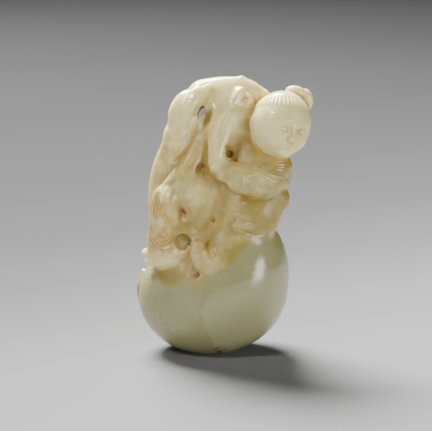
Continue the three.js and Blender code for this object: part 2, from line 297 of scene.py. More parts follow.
def core(stone):
    """The stone behind the relief, from the gourd up to the canopy."""
    stone.add(Limb([
        [-3.8, 0.6, 24, 9.6, 7.0], [-4.4, 0.6, 31, 9.2, 6.6],
        [-4.2, 0.6, 38, 8.8, 6.2], [-2.8, 0.6, 45, 7.8, 5.6],
    ]), 1.5)


def canopy(stone):
    """The leaves over the top."""
    stone.add(Blob([-0.6, 0.2, 47.6], [8.2, 6.2, 6.4], (0, 6, 0)), 1.5, 0.6)
    stone.add(strip([
        (-4.0, 50.8, 0, 3.2, 2.8), (0.0, 51.2, 0, 3.3, 2.6),
        (3.6, 51.0, 0, 3.3, 2.6), (6.7, 49.8, 0, 2.7, 2.4),
    ]), 2.2, 0.9)
    stone.add(Blob(seen(3.3, 53.8, 0.2), [0.9, 1.1, 0.9]), 0.5)
    stone.add(strip([
        (-5.6, 51.9, -2.6, 0.6), (-4.4, 51.7, -3.4, 0.65), (-3.0, 52.4, -3.2, 0.55),
    ]), 0.6, 1.0)


def near_lip(stone):
    """The near leaf rolls down the left side in two lobes with a thick inner rim."""
    stone.add(strip([
        (-6.8, 46.2, -4.0, 1.7, 1.5), (-9.1, 43.6, -4.2, 2.6, 2.2),
        (-9.8, 41.0, -3.9, 2.4, 2.1), (-10.2, 38.8, -3.3, 1.3, 1.2),
    ], [(-0.35, -1, 0.1)]), 0.3, 0.8)
    upper = strip([
        (-4.9, 51.0, -3.2, 1.5), (-7.2, 49.3, -4.4, 2.4, 2.3),
        (-8.6, 47.2, -4.8, 2.4, 2.3), (-9.2, 45.3, -4.6, 2.0, 1.8),
    ], [(-0.35, -1, 0.15)])
    rim = strip([
        (-5.3, 51.2, -4.9, 0.9), (-6.4, 49.4, -6.2, 1.2),
        (-7.4, 47.2, -6.6, 1.2), (-8.1, 45.3, -6.1, 0.9),
    ], [(-0.3, -1, 0.5)])
    stone.add(upper, 0.2, 0.85)
    stone.add(rim, 0.7, 0.85)
    facet(stone, -6.6, 49.7, [1.5, 1.0, 3.0], 30)
    stone.polished += [upper, rim]


def trunk(stone):
    """The child's trunk with its shoulders and neck, and the chest beside the raised arm."""
    stone.add(Limb([
        [10.0, -0.2, 41.5, 2.6, 3.0], [9.4, -0.4, 38.5, 3.8, 4.6], [8.2, -0.2, 35.0, 4.7, 5.6],
        [6.8, -0.3, 30.5, 5.0, 6.4], [5.0, -0.2, 27.0, 5.2, 6.8],
    ]), 1.2)
    stone.add(strip([
        (3.8, 48.0, -1.0, 2.4, 2.2), (4.2, 43.5, -1.2, 3.2, 2.3),
        (4.6, 39.6, -2.2, 3.6, 2.5), (5.4, 36.5, -3.7, 3.8, 2.6),
    ]), 1.0, 0.2)
    stone.add(Blob(seen(9.2, 37.0, -3.2), [4.2, 3.2, 2.9], (0, 4, 0)), 0.6, 0.1)
    stone.add(Blob(seen(-4.5, 29.0, -1.4), [5.2, 5.8, 6.2], (0, 12, 0)), 1.6, 0.24)
    stone.add(strip([
        (1.6, 33.0, -4.2, 2.4, 2.0), (1.3, 29.5, -4.6, 2.6, 2.0), (0.7, 26.4, -4.9, 2.6, 1.8),
    ]), 1.5, 0.28)
    stone.add(Blob(seen(8.1, 30.4, -3.2), [4.8, 3.2, 3.4]), 1.2)
    stone.add(Blob(seen(5.9, 27.6, -4.0), [5.2, 3.6, 4.7]), 1.0)
    stone.add(Blob(seen(3.9, 25.3, -7.0), [2.6, 1.1, 1.5], (-9, -8, 23)), 0.5, 0.2)


def vine(stone):
    """The stem with its curled leaf, the second leaf and the tips at the lower left."""
    stone.add(strip([
        (-11.2, 41.0, -1.2, 1.4, 1.3), (-12.0, 37.3, -1.6, 2.2, 1.7),
        (-12.7, 33.3, -2.0, 2.5, 1.8), (-13.0, 29.7, -2.4, 2.4, 1.7),
    ], [(-0.7, -1, 0)]), 0.5, 0.45)
    stone.add(Blob(seen(-8.5, 31.5, -4.0), [3.0, 2.4, 3.2]), 1.0)
    stone.add(strip([
        (-4.2, 44.0, -3.6, 1.5, 1.2), (-5.2, 40.0, -4.4, 1.9, 1.4),
        (-7.7, 35.4, -5.2, 2.4, 1.7), (-11.5, 30.2, -5.2, 2.6, 1.8),
    ], [FRONT, (-0.1, -1, 0), (-0.3, -1, 0)]), 0.3, 0.36)
    stone.add(strip([
        (-11.7, 30.4, -5.0, 2.5, 1.8), (-12.1, 26.7, -5.2, 2.5, 1.9),
        (-12.7, 23.1, -5.0, 2.7, 1.9), (-12.8, 20.7, -4.8, 2.7, 1.7),
    ], [(-0.45, -1, 0)]), 0.8, 0.42)
    stone.add(Blob(seen(-8.3, 23.4, -4.8), [3.4, 3.0, 3.4]), 1.0)
    stone.add(strip([
        (-12.4, 31.6, -6.0, 0.8), (-10.9, 30.2, -6.4, 0.9, 0.8),
        (-10.3, 27.2, -6.4, 0.9, 0.6), (-10.7, 24.4, -6.2, 0.8, 0.5),
    ], [(-0.2, -1, 0)]), 1.4, 0.5)
    facet(stone, -11.8, 31.3, [0.8, 0.8, 1.8], 30, 0.7)
    stone.add(strip([
        (-12.8, 31.4, -5.8, 0.6), (-14.0, 28.4, -4.9, 0.7),
        (-14.0, 25.2, -4.9, 0.7), (-13.0, 22.8, -5.6, 0.6),
    ]), 0.9, 0.45)
    stone.add(strip([
        (-9.5, 20.2, -6.4, 2.4, 1.5), (-12.7, 19.5, -5.2, 1.7, 1.2), (-15.6, 19.7, -2.2, 1.0, 0.9),
    ], [(0, -0.3, 1)]), 0.9, 0.65)
    stone.add(strip([
        (-10.2, 18.5, -7.0, 1.3, 1.0), (-12.7, 17.9, -6.0, 1.1, 1.0), (-15.2, 17.9, -3.4, 0.8),
    ], [(0, -0.3, 1)]), 0.6, 0.75)
    stone.add(Limb([
        [-16.6, 1.6, 15.6, 0.9, 0.4], [-17.27, 0.8, 13.2, 1.4, 0.46], [-17.2, 0.6, 10.8, 0.9, 0.4],
    ], [(-1, -0.1, 0.2), (-1, -0.1, 0)]), 0.5)


def legs(stone):
    """The near leg with its shoe, the shin and foot beside it, and the far leg behind."""
    stone.add(strip([
        (5.6, 25.9, -4.2, 4.2, 2.4), (2.6, 23.4, -5.6, 3.6, 2.0),
        (0.4, 21.0, -6.8, 3.0, 1.8), (-1.2, 18.4, -7.9, 2.6, 1.7),
    ], [(0, -1, 0.3)]), 1.8, 0.3)
    stone.add(Blob(seen(-2.4, 17.9, -8.0), [2.9, 1.8, 3.1], (0, -10, 0)), 0.7, 0.34)
    stone.add(Blob(seen(-5.0, 19.0, -7.1), [2.0, 1.8, 3.6], (0, -14, 0)), 0.5, 0.38)
    stone.add(strip([
        (-7.7, 19.7, -6.0, 1.1, 0.9), (-7.8, 17.7, -7.0, 1.1, 0.8), (-7.5, 15.7, -7.8, 0.9, 0.7),
    ], [(0, -1, 0.3)]), 1.0, 0.34)
    stone.add(Blob(seen(-10.2, 16.0, -7.0), [3.3, 0.9, 3.2], (-33, 0, -30)), 1.1)
    stone.add(Limb([
        [6.0, 3.0, 27.0, 3.8, 4.0], [7.2, 5.8, 22.6, 3.2, 3.2],
        [6.6, 8.0, 18.4, 2.6, 2.2], [4.6, 9.6, 16.0, 1.9, 1.6],
    ]), 0.6)


def arms(stone):
    """The raised forearm and hand, the wide sleeve of the near arm, and the far arm behind."""
    stone.add(strip([
        (2.9, 51.0, -2.7, 1.4, 1.2), (2.0, 49.4, -3.4, 1.7, 1.2), (0.1, 45.8, -4.9, 2.1, 1.2),
        (-1.1, 42.4, -5.9, 2.1, 1.2), (-1.5, 39.6, -6.5, 1.7, 1.4), (-1.5, 37.2, -6.7, 1.8),
    ], [(-0.15, -1, 0)]), 0.15, 0.75)
    stone.add(Blob(seen(4.1, 49.6, -3.2), [1.6, 1.1, 1.5], (0, 30, 0)), 0.6, 0.85)
    facet(stone, 2.2, 50.4, [0.75, 0.8, 2.3], 34)
    stone.add(strip([
        (-1.2, 36.8, -6.8, 2.0), (1.6, 34.9, -7.1, 2.8, 2.0), (5.0, 33.7, -6.8, 2.8, 2.0),
        (8.8, 33.2, -5.3, 2.1, 1.7), (11.4, 33.4, -3.2, 1.3, 1.2),
    ], [(0.1, -1, 0.2)]), 0.3, 0.38)
    stone.add(Limb([
        [10.2, 1.2, 38.4, 2.6, 2.6], [10.8, 4.6, 34.2, 2.6, 2.3],
        [8.0, 6.7, 34.8, 2.2, 1.8], [5.4, 7.6, 37.0, 1.5, 1.3],
    ]), 0.5)


def back_leaf(stone):
    stone.add(Limb([
        [0.6, 3.6, 51.6, 3.6, 2.0], [-1.2, 5.6, 48.5, 5.6, 1.6], [-3.2, 6.9, 42.5, 6.8, 1.5],
        [-4.4, 7.2, 35.0, 6.2, 1.5], [-4.6, 7.5, 28.0, 4.2, 1.4], [-4.0, 8.2, 22.0, 1.4, 1.0],
    ], [(0, 0.6, 1), (0, 0.9, 0.5), (0, 1, 0.2), (0, 1, 0), (0, 1, 0.1), (0, 1, 0.2)]), 0.5, 0.3)


class OnHead:
    """A form given about the head's centre, upright and facing -Y."""

    def __init__(self, form):
        self.form = form

    def box(self):
        low, high = self.form.box()
        middle = HEAD_CENTRE + HEAD_TURN @ ((low + high) / 2)
        reach = np.abs(HEAD_TURN) @ ((high - low) / 2)
        return middle - reach, middle + reach

    def distance(self, x, y, z):
        place = (x - HEAD_CENTRE[0], y - HEAD_CENTRE[1], z - HEAD_CENTRE[2])
        local = [sum(place[k] * HEAD_TURN[k, i] for k in range(3)) for i in range(3)]
        return self.form.distance(*local)


class Cap:
    """The part of a form that lies beyond a plane."""

    def __init__(self, form, normal, offset):
        self.form = form
        self.way = np.array(normal) / np.linalg.norm(normal)
        self.offset = offset

    def box(self):
        return self.form.box()

    def distance(self, x, y, z):
        beyond = x * self.way[0] + y * self.way[1] + z * self.way[2] - self.offset
        return np.maximum(self.form.distance(x, y, z), -beyond)


# The hair is a thin cap that ends at a plane: the way it faces and its height on the head.
HAIR_WAY = (0, 0.42, 0.91)
HAIR_HEIGHT = 3.1
HAIR_THICKNESS = 0.12
HAIR_RADII = [radius + HAIR_THICKNESS for radius in HEAD_RADII]


def head(stone):
    """The head with a calm, full face, its ears and its hair."""
    def put(form, blend):
        stone.add(OnHead(form), blend, 1.0)

    def take(form, blend):
        stone.cut(OnHead(form), blend)

    put(Blob([0, 0, 0], HEAD_RADII), 0.0)
    put(Blob([0, -4.1, -4.5], [1.4, 1.2, 1.0]), 1.2)
    for side in (-1, 1):
        put(Blob([side * 2.1, -3.8, -2.0], [1.6, 1.4, 1.6]), 1.2)
        take(Blob([side * 1.9, -6.3, 0.5], [1.6, 1.1, 0.9]), 0.6)
        put(Blob([side * 1.9, -4.95, 0.4], [1.1, 0.8, 0.6]), 0.15)
        put(Blob([side * 0.52, -5.95, -1.4], [0.42, 0.5, 0.36]), 0.3)
        put(Blob([side * 5.75, 0.5, -0.4], [0.55, 1.1, 1.7], (-12, 0, 0)), 0.25)
    put(Limb([[0, -5.5, 1.6, 0.35, 0.3], [0, -5.8, 0.2, 0.4, 0.4], [0, -6.25, -1.2, 0.6, 0.55]]), 0.7)
    put(Blob([0, -5.4, -2.55], [0.95, 0.5, 0.3]), 0.25)
    put(Blob([0, -5.3, -3.1], [0.75, 0.5, 0.32]), 0.25)
    put(Cap(Blob([0, 0, 0], HAIR_RADII), HAIR_WAY, HAIR_HEIGHT), 0.5)


def knot(stone):
    stone.add(Blob(seen(13.9, 51.4, -2.2), [2.0, 1.3, 1.2], (0, 10, 0)), 0.2, 1.0)
    stone.add(Blob(seen(16.1, 50.0, -1.6), [1.3, 1.3, 2.1], (0, -10, 0)), 0.2, 1.0)


HOLE_START = -14
HOLE_END = 14


def drill(stone, across, up, radius, end, blend):
    """A flat-bottomed hole along the line of sight, down to a depth."""
    bore = strip([(across, up, HOLE_START, radius), (across, up, end + 1, radius)])
    bottom = -SIGHT @ seen(across, up, end)
    stone.cut(Cap(bore, -SIGHT, bottom), blend)


def hollows(stone):
    """The deep places beside the lip of the leaf, the stem and the raised arm."""
    stone.cut(strip([
        (-2.2, 49.3, -7.4, 1.0, 2.6), (-3.3, 47.0, -8.0, 1.7, 3.6), (-4.4, 43.6, -8.2, 1.5, 3.3),
        (-5.3, 40.8, -8.2, 1.2, 2.8), (-6.4, 38.4, -8.0, 0.8, 2.0),
    ]), 0.4)
    stone.cut(strip([
        (-5.8, 42.0, -8.0, 0.4, 2.6), (-7.2, 39.6, -7.8, 0.5, 2.2), (-9.0, 37.0, -7.4, 0.4, 1.6),
    ]), 0.5)
    stone.cut(strip([
        (-0.4, 32.8, -8.0, 0.5, 1.5), (-0.6, 29.8, -7.7, 0.7, 1.5),
        (-1.4, 26.4, -7.9, 0.8, 1.5), (-3.4, 23.6, -8.4, 0.5, 1.4),
    ]), 1.4)
    stone.cut(strip([
        (-12.1, 28.0, -8.2, 0.6, 1.3), (-12.0, 26.0, -8.2, 0.9, 1.5), (-12.1, 24.2, -8.2, 0.6, 1.3),
    ]), 1.0)


def holes(stone):
    """Drilled holes, small pits, and a slot right through the canopy."""
    drill(stone, -4.3, 36.0, 1.4, -5.4, 0.15)
    drill(stone, -8.3, 21.9, 1.65, -6.5, 0.2)
    drill(stone, 0.9, 39.2, 0.6, -3.4, 0.4)
    drill(stone, 0.5, 40.3, 0.5, -4.2, 0.4)
    drill(stone, 1.6, 39.8, 0.3, -4.4, 0.3)
    for across, up, radius in ((-4.3, 48.2, 0.4), (-4.5, 47.6, 0.6), (-4.85, 47.0, 0.5)):
        drill(stone, across, up, radius, HOLE_END, 0.2)
    drill(stone, -8.4, 27.9, 0.45, -5.6, 0.5)
    drill(stone, -7.8, 27.3, 0.35, -5.8, 0.5)
    drill(stone, -2.4, 26.3, 0.35, -6.0, 0.4)
    drill(stone, -5.6, 15.4, 0.5, -8.6, 0.5)


def make_stone():
    """The whole stone as a field, cut level at the foot."""
    stone = Field(ROOM_LOW, ROOM_HIGH, CELL)
    for step in (gourd, core, canopy, trunk, near_lip, vine, legs, arms, head, knot, back_leaf,
                 hollows, holes):
        step(stone)
    height = stone.axes[2][None, None, :]
    stone.values[:] = np.maximum(stone.values, -height)
    return stone


def surface_mesh(field):
    """Vertices and quads of the zero surface: one vertex in each cell that it crosses."""
    values = field.values
    inside = values < 0
    shape = np.array(values.shape) - 1
    corners = list(np.ndindex(2, 2, 2))

    def corner(grid, c):
        return grid[tuple(slice(o, o + n) for o, n in zip(c, shape))]

    count = sum(corner(inside, c).astype(np.int8) for c in corners)
    cells = np.argwhere((count > 0) & (count < 8))
    index = np.full(shape, -1)
    index[tuple(cells.T)] = np.arange(len(cells))
    total = np.zeros((len(cells), 3))
    crossings = np.zeros(len(cells))
    for axis in range(3):
        for c in corners:
            if c[axis]:
                continue
            a = values[tuple((cells + c).T)]
            end = np.array(c)
            end[axis] = 1
            b = values[tuple((cells + end).T)]
            crosses = (a < 0) != (b < 0)
            t = np.where(crosses, a / np.where(crosses, a - b, 1), 0)
            spot = np.tile(np.array(c, float), (len(cells), 1))
            spot[:, axis] += t
            total += spot * crosses[:, None]
            crossings += crosses
    vertices = field.low + (cells + total / crossings[:, None]) * field.cell

    quads = []
    for axis in range(3):
        u, v = [(1, 2), (2, 0), (0, 1)][axis]
        low = [slice(1, n) for n in shape]
        low[axis] = slice(0, shape[axis])
        high = list(low)
        high[axis] = slice(1, shape[axis] + 1)
        a, b = inside[tuple(low)], inside[tuple(high)]
        crossed = np.argwhere(a != b)
        outward = a[tuple(crossed.T)]
        crossed += [0 if i == axis else 1 for i in range(3)]
        ring = []
        for du, dv in ((-1, -1), (0, -1), (0, 0), (-1, 0)):
            cell = crossed.copy()
            cell[:, u] += du
            cell[:, v] += dv
            ring.append(index[tuple(cell.T)])
        ring = np.stack(ring, 1)
        ring[~outward] = ring[~outward][:, ::-1]
        quads.append(ring)
    return vertices, np.vstack(quads)


def settle(field, points, rounds=3):
    """Moves points onto the field's zero surface."""
    for _ in range(rounds):
        points = points - field.normal(points) * field.sample(points)[:, None]
    return points


# A carved line fades over a share of its length at both ends, down to a share of its depth.
LINE_FADE = 0.18
LINE_END = 0.25
LINE_FALL = 2.2

# In widths of a line: how far it presses the stone, and how far the mesh is refined beside it.
PRESS_REACH = 2
REFINE_REACH = 1.6


class Line:
    """A carved line on the surface: a groove, or a raised rib where its depth is negative."""

    def __init__(self, path, width, depth):
        self.path = path
        self.width = width
        self.depth = depth

    def nearest(self, points):
        """Each point's distance to the line, and how far along it that is, from 0 to 1."""
        gap = np.full(len(points), 1e9)
        along = np.zeros(len(points))
        last = len(self.path) - 1
        for i, (a, b) in enumerate(zip(self.path, self.path[1:])):
            e = b - a
            t = np.clip((points - a) @ e / max(e @ e, 1e-9), 0, 1)
            away = np.linalg.norm(points - a - t[:, None] * e, axis=1)
            closer = away < gap
            gap = np.where(closer, away, gap)
            along = np.where(closer, (i + t) / last, along)
        return gap, along

    def press(self, points):
        """How deep the line cuts at each point: rounded across, and fading at both ends."""
        gap, along = self.nearest(points)
        fade = np.clip(np.minimum(along, 1 - along) / LINE_FADE, 0, 1)
        fade = LINE_END + (1 - LINE_END) * fade * fade * (3 - 2 * fade)
        return self.depth * fade * np.exp(-(gap / self.width) ** 2 * LINE_FALL)


class Chisel:
    """Draws lines on the stone and keeps them."""

    def __init__(self, stone):
        self.stone = stone
        self.lines = []

    def keep(self, starts, direction, width, depth):
        """A line where rays from the starts meet the stone."""
        path = self.stone.hit(starts, direction)
        self.lines.append(Line(path, width, depth))

    def front(self, points, width=0.3, depth=0.16):
        """A line through places seen from the front."""
        curve = spline(points, 5)
        starts = [seen(across, up, -START) for across, up in curve]
        self.keep(starts, SIGHT, width, depth)

    def back(self, points, width=0.35, depth=0.16):
        """A line through places (x, z) on the far side."""
        starts = [(x, START, z) for x, z in spline(points, 5)]
        self.keep(starts, (0, -1, 0), width, depth)

    def face(self, points, width=0.2, depth=0.1):
        """A line through places (x, z) on the front of the head."""
        starts = [HEAD_CENTRE + HEAD_TURN @ np.array([x, -12, z]) for x, z in spline(points, 6)]
        self.keep(starts, HEAD_TURN @ np.array([0, 1, 0]), width, depth)

    def hair(self, turn, tilts, width, depth):
        """A line up the hair cap, at a turn round its axis and between two tilts from it."""
        axis = np.array(HAIR_WAY) / np.linalg.norm(HAIR_WAY)
        fore = np.array([0, -axis[2], axis[1]])
        side = np.array([1.0, 0, 0])
        c, s = bearing(turn)
        out = c * side + s * fore
        path = []
        for tilt in np.linspace(*np.radians(tilts), 8):
            way = math.cos(tilt) * axis + math.sin(tilt) * out
            path.append(HEAD_CENTRE + HEAD_TURN @ (way * 6.3))
        path = settle(self.stone, np.array(path))
        self.lines.append(Line(path, width, depth))


def carve_hair(chisel):
    """Short strokes all round the front edge of the hair."""
    for turn in range(8, 173, 9):
        chisel.hair(turn, (64, 42), 0.22, 0.24)


def carve_face(chisel):
    """Eyelids, brows and the wings of the nose on both sides, then the lips and the chin."""
    for side in (-1, 1):
        chisel.face([(side * 0.9, 0.35), (side * 1.9, 0.9), (side * 2.9, 0.3)], 0.2, 0.22)
        chisel.face([(side * 1.0, 0.2), (side * 1.9, -0.1), (side * 2.8, 0.2)], 0.2, 0.2)
        chisel.face([(side * 0.7, 2.0), (side * 1.8, 2.2), (side * 3.0, 1.7)], 0.4, -0.08)
        chisel.face([(side * 0.75, -0.9), (side * 1.1, -1.3), (side * 0.95, -1.75)], 0.16, 0.07)
    chisel.face([(-0.85, -2.75), (-0.3, -2.86), (0.3, -2.86), (0.85, -2.75)], 0.18, 0.22)
    chisel.face([(-0.35, -3.65), (0.0, -3.75), (0.35, -3.65)], 0.3, 0.08)


def carve_knot(chisel):
    chisel.front([(12.9, 51.9), (14.0, 51.7), (15.0, 51.2)], 0.2, 0.1)
    chisel.front([(12.8, 51.3), (13.9, 51.0), (14.9, 50.6)], 0.2, 0.1)
    chisel.front([(15.9, 50.8), (16.3, 49.9), (16.2, 48.9)], 0.2, 0.1)


CUFF_FAN = (4.4, 36.8)
CUFF_RADII = (7.6, 5.2)
SHOULDER_FAN = (3.0, 36.4)


def fan(chisel, centre, degrees, reaches, width, depth):
    """Lines that spread from a centre; reaches give where each starts and ends."""
    for turn in degrees:
        c, s = bearing(turn)
        points = [(centre[0] + c * reach, centre[1] + s * reach) for reach in reaches(turn)]
        chisel.front(points, width, depth)


def carve_sleeve(chisel):
    """Pleats that spread over the cuff, and flatter ones over the upper arm."""
    def cuff(turn):
        c, s = bearing(turn)
        far = 1 / math.hypot(c / CUFF_RADII[0], s / CUFF_RADII[1])
        return 0.34 * far, 0.66 * far, 0.98 * far

    def shoulder(turn):
        return 5.0, 7.6, 10.0

    fan(chisel, CUFF_FAN, range(-18, -96, -7), cuff, 0.26, 0.15)
    fan(chisel, SHOULDER_FAN, range(8, -14, -5), shoulder, 0.24, 0.08)
    chisel.front([(1.1, 37.6), (3.6, 36.8), (6.3, 35.8)], 0.3, 0.14)
    chisel.front([(4.9, 41.2), (5.0, 39.4), (5.4, 37.7)], 0.5, -0.12)


def carve_jacket(chisel):
    """Raised folds at the hip, the hem round it, and the line of the waist."""
    chisel.front([(1.0, 28.2), (1.9, 28.0), (2.9, 28.1)], 0.26, -0.14)
    chisel.front([(1.1, 27.3), (2.2, 27.0), (3.3, 27.1)], 0.26, -0.14)
    chisel.front([(1.9, 26.6), (2.8, 26.3), (3.6, 26.4)], 0.26, -0.1)
    chisel.front([(2.6, 25.1), (3.8, 24.9), (5.2, 25.2)], 0.22, 0.12)
    chisel.front([(1.4, 26.6), (2.2, 24.9), (4.3, 23.7), (6.6, 23.2), (9.4, 23.9)], 0.35, 0.12)
    chisel.front([(4.2, 29.8), (7.2, 30.0), (10.0, 30.8)], 0.5, 0.1)


def carve_legs(chisel):
    """The line between the shoes, a fold on the near one, and the edge of the shin."""
    chisel.front([(-3.7, 21.9), (-3.3, 20.2), (-2.6, 18.4)], 0.45, 0.3)
    chisel.front([(-2.5, 21.8), (-2.1, 20.4), (-1.5, 19.2)], 0.3, 0.12)
    chisel.front([(-6.9, 19.6), (-6.5, 17.6), (-5.8, 15.9)], 0.35, 0.2)


def carve_curled_leaf(chisel):
    """Long lines down the left of the curled leaf, and nested bows below them."""
    for shift, top, bottom in ((0, 31.6, 25.0), (0.45, 31.2, 24.4), (0.9, 29.6, 24.8)):
        middle = (top + bottom) / 2
        points = [(-12.9 + shift, top), (-13.9 + shift, middle), (-13.8 + shift, bottom)]
        chisel.front(points, 0.24, 0.16)
    for radius in (1.5, 2.3, 3.1, 3.9):
        bow = [bearing(degrees) for degrees in range(190, 351, 32)]
        points = [(-12.1 + radius * c * 0.72, 24.2 + radius * s) for c, s in bow]
        chisel.front(points, 0.3, 0.15)


def carve_leaves(chisel):
    """Midribs of the near lip, the second leaf and the tips, and creases on the canopy."""
    chisel.front([(-6.0, 50.6), (-7.9, 48.6), (-9.0, 46.2)], 0.5, 0.1)
    chisel.front([(-10.9, 40.4), (-12.0, 36.6), (-12.8, 33.0)], 0.4, 0.08)
    chisel.front([(-11.0, 18.9), (-13.0, 18.6), (-14.8, 19.0)], 0.25, 0.1)
    for x, y in ((-4.9, 52.5), (-4.2, 51.9), (-3.2, 51.7)):
        chisel.front([(x - 0.8, y - 0.3), (x, y), (x + 0.8, y + 0.1)], 0.2, 0.12)


def carve_stem(chisel):
    """A furrow down the stem, and the ribbon-like edge where the leaf begins."""
    chisel.front([(-4.6, 41.6), (-5.8, 38.6), (-8.0, 35.2)], 0.5, 0.08)
    chisel.front([(-9.2, 35.3), (-11.0, 34.0), (-12.7, 32.7)], 0.25, -0.14)


def carve_arm(chisel):
    chisel.front([(1.6, 48.9), (0.3, 46.6), (-0.9, 44.4), (-1.9, 40.9)], 0.35, 0.3)


def carve_back(chisel):
    """A midrib and side veins on the leaf down the back, and folds in the jacket."""
    chisel.back([(-0.6, 50.5), (-3.2, 42.0), (-4.4, 33.0), (-4.2, 23.0)], 0.45, 0.28)
    for height in (46.5, 42.0, 37.5, 33.0):
        middle = -4.4 + 0.012 * (height - 32) ** 2
        reach = 4.6 - 0.22 * abs(height - 42)
        for side in (-1, 1):
            points = [(middle, height), (middle + side * reach * 0.6, height - 1.6)]
            points.append((middle + side * reach, height - 4.4))
            chisel.back(points, 0.32, 0.15)
    chisel.back([(6.0, 33.0), (8.0, 30.4), (10.6, 29.4)], 0.45, 0.18)
    chisel.back([(4.6, 30.0), (7.0, 27.4), (9.4, 26.0)], 0.45, 0.18)
    chisel.back([(9.4, 36.6), (10.6, 34.6), (12.0, 33.6)], 0.4, 0.14)


def carved_lines(stone):
    """All the carved lines, laid on the smooth stone."""
    chisel = Chisel(stone)
    for step in (carve_hair, carve_face, carve_knot, carve_sleeve, carve_jacket, carve_legs,
                 carve_curled_leaf, carve_leaves, carve_stem, carve_arm, carve_back):
        step(chisel)
    return chisel.lines


def refine(vertices, quads, lines):
    """Splits the faces beside the lines, and returns points and faces."""
    mesh = bpy.data.meshes.new("raw")
    mesh.from_pydata(vertices.tolist(), [], quads.tolist())
    near = np.zeros(len(vertices), bool)
    for line in lines:
        reach = line.width * REFINE_REACH + CELL
        box = near_box(vertices, line.path, reach)
        gap, _ = line.nearest(vertices[box])
        near[box[gap < reach]] = True
    work = bmesh.new()
    work.from_mesh(mesh)
    work.verts.ensure_lookup_table()
    edges = [edge for edge in work.edges if near[edge.verts[0].index] and near[edge.verts[1].index]]
    bmesh.ops.subdivide_edges(work, edges=edges, cuts=1, use_grid_fill=True)
    bmesh.ops.triangulate(work, faces=[face for face in work.faces if len(face.verts) > 4])
    work.to_mesh(mesh)
    work.free()
    return mesh


def near_box(points, path, reach):
    """The numbers of the points within reach of the box round a path."""
    low, high = path.min(0) - reach, path.max(0) + reach
    return np.flatnonzero(((points > low) & (points < high)).all(1))


def points_of(mesh):
    """The places of a mesh's vertices, one row for each."""
    flat = np.empty(len(mesh.vertices) * 3)
    mesh.vertices.foreach_get("co", flat)
    return flat.reshape(-1, 3)


def press_lines(stone, points, lines):
    """Pushes the points in along the grooves and out along the ribs."""
    groove = np.zeros(len(points))
    rib = np.zeros(len(points))
    for line in lines:
        box = near_box(points, line.path, line.width * PRESS_REACH)
        press = line.press(points[box])
        if line.depth > 0:
            groove[box] = np.maximum(groove[box], press)
        else:
            rib[box] = np.minimum(rib[box], press)
    return points - stone.normal(points) * (groove + rib)[:, None], groove


MOST_TRIANGLES = 190000


def build_piece(stone):
    """The carved and painted mesh, in metres about the part's origin."""
    vertices, quads = surface_mesh(stone)
    vertices = settle(stone, vertices)
    lines = carved_lines(stone)
    mesh = refine(vertices, quads, lines)
    points = settle(stone, points_of(mesh), 2)
    points, groove = press_lines(stone, points, lines)
    points[:, 2] = np.maximum(points[:, 2], 0)
    placed = (points - [CENTRE_X, CENTRE_Y, 0]) * MM
    mesh.vertices.foreach_set("co", placed.ravel())
    mesh.update()
    mesh.name = "jade_stone"
    piece = bpy.data.objects.new("jade_stone", mesh)
    bpy.context.collection.objects.link(piece)
    thin(piece)
    paint(stone, piece.data)
    piece.data.polygons.foreach_set("use_smooth", [True] * len(piece.data.polygons))
    return piece


def thin(piece):
    """Collapses faces where the surface is even, down to the limit."""
    count = sum(len(face.vertices) - 2 for face in piece.data.polygons)
    if count <= MOST_TRIANGLES:
        return
    modifier = piece.modifiers.new("thin", "DECIMATE")
    modifier.ratio = MOST_TRIANGLES / count
    modifier.use_collapse_triangulate = True
    bpy.context.view_layer.objects.active = piece
    bpy.ops.object.modifier_apply(modifier=modifier.name)


# Soft spots of colour as they are seen from the front: across, up, radius, strength.
HONEY_SPOTS = (
    (3.4, 44.4, 2.4, 0.6), (2.6, 41.0, 2.2, 0.8), (-4.6, 43.0, 2.4, 0.8), (-1.4, 48.8, 1.8, 0.8),
    (-12.6, 27.4, 3.4, 1.0), (-12.6, 22.6, 2.8, 0.8), (-8.3, 21.9, 2.8, 0.2), (-4.2, 46.6, 3.0, 0.5),
    (3.4, 48.4, 2.4, 0.6), (6.4, 50.4, 2.2, 0.7), (-5.4, 40.0, 3.4, 0.6), (-4.2, 36.1, 2.6, 0.7),
    (1.4, 40.4, 3.0, 0.6), (-8.0, 27.9, 2.0, 0.5), (-2.4, 26.2, 2.2, 0.7), (-3.7, 20.2, 1.3, 0.9),
    (-5.4, 15.4, 2.2, 0.6), (-10.6, 40.4, 2.4, 0.8), (3.1, 54.3, 1.3, 0.6), (-13.4, 35.0, 2.4, 0.3),
    (-1.6, 30.4, 3.0, 0.4), (11.0, 24.6, 2.4, 0.3), (14.4, 42.4, 3.4, 0.4),
    (-6.6, 38.0, 2.8, 0.7), (-8.6, 42.6, 2.2, 0.4), (-1.8, 27.0, 3.4, 0.6), (-2.9, 24.6, 2.8, 0.5),
    (-11.6, 26.2, 2.4, 1.0),
)
RUSSET_SPOTS = (
    (-13.6, 28.4, 2.0, 1.0), (-12.8, 22.4, 2.6, 1.0), (-8.6, 20.6, 2.4, 0.6), (3.4, 49.8, 1.5, 0.9),
    (-4.2, 36.0, 1.6, 0.5), (1.0, 38.8, 1.4, 0.8), (-8.3, 27.9, 1.0, 0.9), (-2.3, 26.2, 0.9, 0.8),
    (-5.3, 15.3, 1.2, 0.8), (-16.8, 12.6, 1.6, 0.5), (-13.4, 34.6, 1.6, 0.5), (6.6, 50.6, 1.4, 0.3),
)
# Paler stone, except the spot at -4.2, 50.0 beside the lip and the one at -5.5, 31.5 on the upper bulb,
# which are painted highlights.
PALE_AND_HIGHLIGHT_SPOTS = (
    (-13.0, 37.0, 3.0, 0.4), (-5.5, 31.5, 3.6, 0.6), (-4.2, 50.0, 2.2, 1.0), (3.0, 52.5, 5.0, 1.0),
    (-7.2, 17.4, 1.8, 0.3), (-12.6, 27.5, 3.0, 0.9), (-10.2, 41.4, 2.6, 1.0),
)
